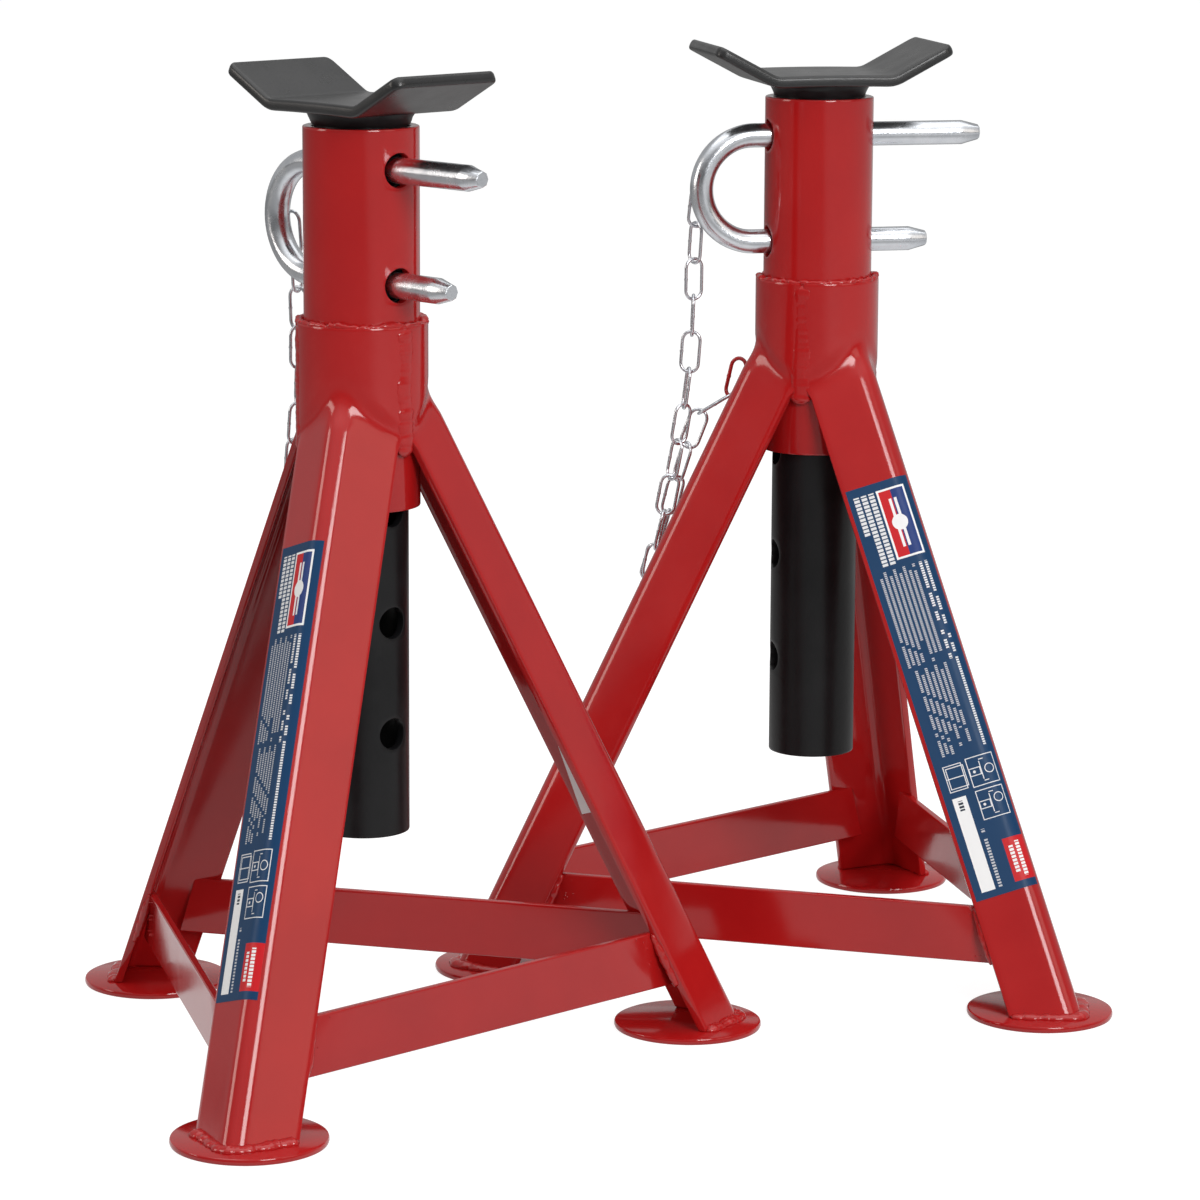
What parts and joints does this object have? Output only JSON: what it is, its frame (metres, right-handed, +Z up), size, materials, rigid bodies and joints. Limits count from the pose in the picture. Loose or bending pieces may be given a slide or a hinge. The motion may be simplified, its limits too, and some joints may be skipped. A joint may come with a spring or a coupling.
{
  "type": "axle stands",
  "caption": "Pair of pin-locked axle stands: three angle legs with flat braces and round feet, a sliding post with a bent saddle, a U-shaped locking pin on a chain.",
  "frame": {"origin": "centre of the pair's footprint on the floor", "axes": "+Z up, -Y towards the viewer, with the left stand in front and the right stand behind it. Each stand's locking pin lies along its own X axis, turned -46 degrees on the left stand and 13 degrees on the right"},
  "size_m": [0.4, 0.4356, 0.3664],
  "materials": {
    "red_paint": "gloss",
    "black_paint": "semi-gloss",
    "pin_zinc": "bright zinc plate",
    "chain_zinc": "bright zinc plate",
    "label": "printed film"
  },
  "bodies": {
    "left_frame": {"left_sleeve": "red_paint", "left_leg_1": "red_paint", "left_leg_2": "red_paint", "left_leg_3": "red_paint", "left_brace_1": "red_paint", "left_brace_2": "red_paint", "left_brace_3": "red_paint", "left_foot_1": "red_paint", "left_foot_2": "red_paint", "left_foot_3": "red_paint", "left_collar_weld": "red_paint", "left_collar_seams": "red_paint", "left_brace_welds": "red_paint", "left_foot_welds": "red_paint", "left_anchor_link": "red_paint", "left_label": "label", "left_chain_tail": "chain_zinc"},
    "left_lift": {"left_post": "black_paint", "left_neck": "black_paint", "left_saddle": "black_paint"},
    "left_lock": {"left_pin": "pin_zinc", "left_chain": "chain_zinc"},
    "left_lock_core": {"left_pin_core": "pin_zinc"},
    "right_frame": {"right_sleeve": "red_paint", "right_leg_1": "red_paint", "right_leg_2": "red_paint", "right_leg_3": "red_paint", "right_brace_1": "red_paint", "right_brace_2": "red_paint", "right_brace_3": "red_paint", "right_foot_1": "red_paint", "right_foot_2": "red_paint", "right_foot_3": "red_paint", "right_collar_weld": "red_paint", "right_collar_seams": "red_paint", "right_brace_welds": "red_paint", "right_foot_welds": "red_paint", "right_anchor_link": "red_paint", "right_label": "label", "right_chain_tail": "chain_zinc"},
    "right_lift": {"right_post": "black_paint", "right_neck": "black_paint", "right_saddle": "black_paint"},
    "right_lock": {"right_pin": "pin_zinc", "right_chain": "chain_zinc"},
    "right_lock_core": {"right_pin_core": "pin_zinc"}
  },
  "joints": [
    {"name": "left_raise", "type": "slide", "parent": "left_frame", "child": "left_lift", "axis": [0, 0, 1], "range_m": [0, 0.166]},
    {"name": "left_pin_pull", "type": "slide", "parent": "left_frame", "child": "left_lock", "axis": [-0.6947, 0.7193, 0], "range_m": [0, 0.092], "deforming": ["left_chain", "left_chain_tail"]},
    {"name": "left_pin_core_follow", "type": "slide", "parent": "left_lift", "child": "left_lock_core", "axis": [-0.6947, 0.7193, 0], "range_m": [0, 0.092]},
    {"name": "right_raise", "type": "slide", "parent": "right_frame", "child": "right_lift", "axis": [0, 0, 1], "range_m": [0, 0.166]},
    {"name": "right_pin_pull", "type": "slide", "parent": "right_frame", "child": "right_lock", "axis": [-0.9744, -0.225, 0], "range_m": [0, 0.092], "deforming": ["right_chain", "right_chain_tail"]},
    {"name": "right_pin_core_follow", "type": "slide", "parent": "right_lift", "child": "right_lock_core", "axis": [-0.9744, -0.225, 0], "range_m": [0, 0.092]},
    {"name": "stand_spacing", "type": "slide", "parent": "left_frame", "child": "right_frame", "axis": [1, 0, 0], "range_m": [0, 0.6]}
  ],
  "couplings": [
    {"joint": "left_pin_core_follow", "follows": "left_pin_pull", "ratio": 1},
    {"joint": "right_pin_core_follow", "follows": "right_pin_pull", "ratio": 1}
  ]
}
